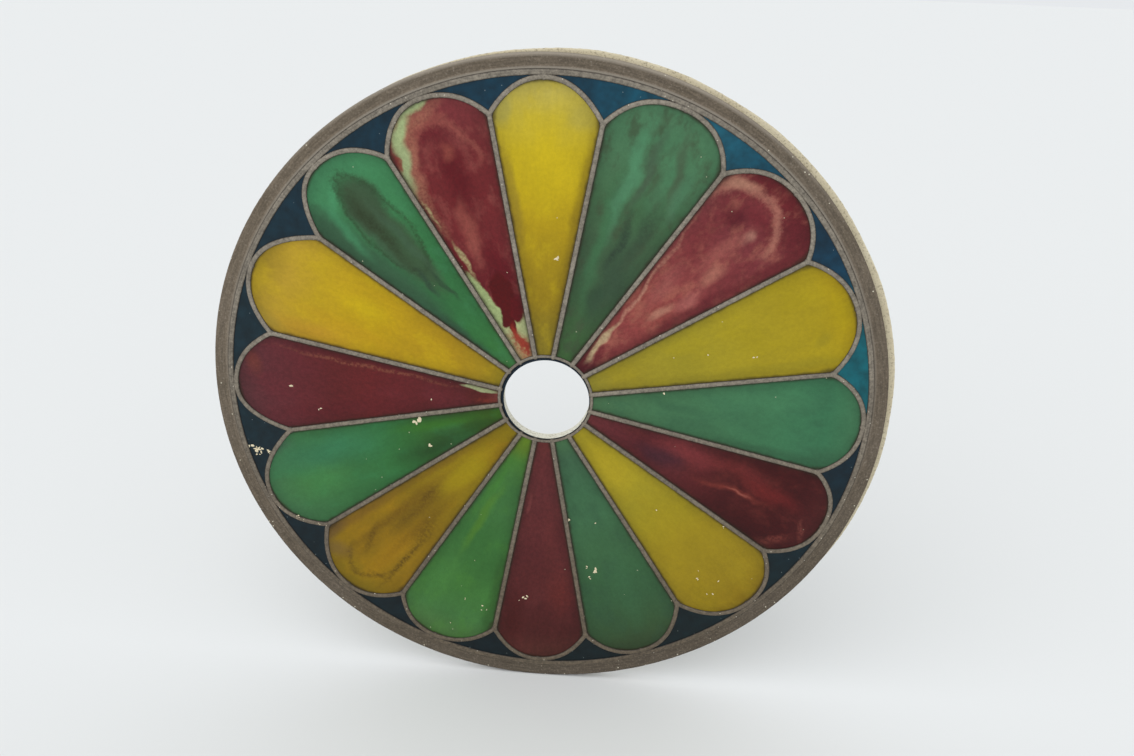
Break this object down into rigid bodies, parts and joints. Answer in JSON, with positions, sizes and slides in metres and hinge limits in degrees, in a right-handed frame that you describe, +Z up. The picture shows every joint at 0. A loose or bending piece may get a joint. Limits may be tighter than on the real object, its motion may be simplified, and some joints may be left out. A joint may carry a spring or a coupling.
{
  "type": "round stained glass window",
  "caption": "Round leaded window panel with a rosette of petal-shaped coloured panes, dark blue border panes, a flat ring frame and a round hole through the middle.",
  "frame": {"origin": "centre of the ring frame, on the plane of its back face", "axes": "+Z up with the yellow petal with the pale tip at the top, +Y out of the back of the window, -Y out of its coloured front, +X to the right seen from the front"},
  "size_m": [0.9592, 0.02, 0.9551],
  "materials": {
    "frame": "brown-grey painted composition with a fine pebbled face",
    "raw_composition": "raw cream composition, unpainted and rough",
    "lead": "dull grey-taupe lead came with a granular skin",
    "yellow_glass": "mottled yellow cathedral glass, hazy, satin",
    "green_glass": "mottled green cathedral glass, hazy, satin",
    "burgundy_glass": "streaky burgundy glass with pale swirls, satin",
    "navy_glass": "dark blue-green glass, satin"
  },
  "bodies": {
    "root": {"frame_band": "frame", "back_rim": "raw_composition", "came_lattice": "lead", "centre_sleeve": "raw_composition", "petal_01_yellow": "yellow_glass", "border_01": "navy_glass", "petal_02_green": "green_glass", "border_02": "navy_glass", "petal_03_burgundy": "burgundy_glass", "border_03": "navy_glass", "petal_04_yellow": "yellow_glass", "border_04": "navy_glass", "petal_05_green": "green_glass", "border_05": "navy_glass", "petal_06_burgundy": "burgundy_glass", "border_06": "navy_glass", "petal_07_yellow": "yellow_glass", "border_07": "navy_glass", "petal_08_green": "green_glass", "border_08": "navy_glass", "petal_09_burgundy": "burgundy_glass", "border_09": "navy_glass", "petal_10_green": "green_glass", "border_10": "navy_glass", "petal_11_yellow": "yellow_glass", "border_11": "navy_glass", "petal_12_green": "green_glass", "border_12": "navy_glass", "petal_13_burgundy": "burgundy_glass", "border_13": "navy_glass", "petal_14_yellow": "yellow_glass", "border_14": "navy_glass", "petal_15_green": "green_glass", "border_15": "navy_glass", "petal_16_burgundy": "burgundy_glass", "border_16": "navy_glass"}
  },
  "joints": []
}
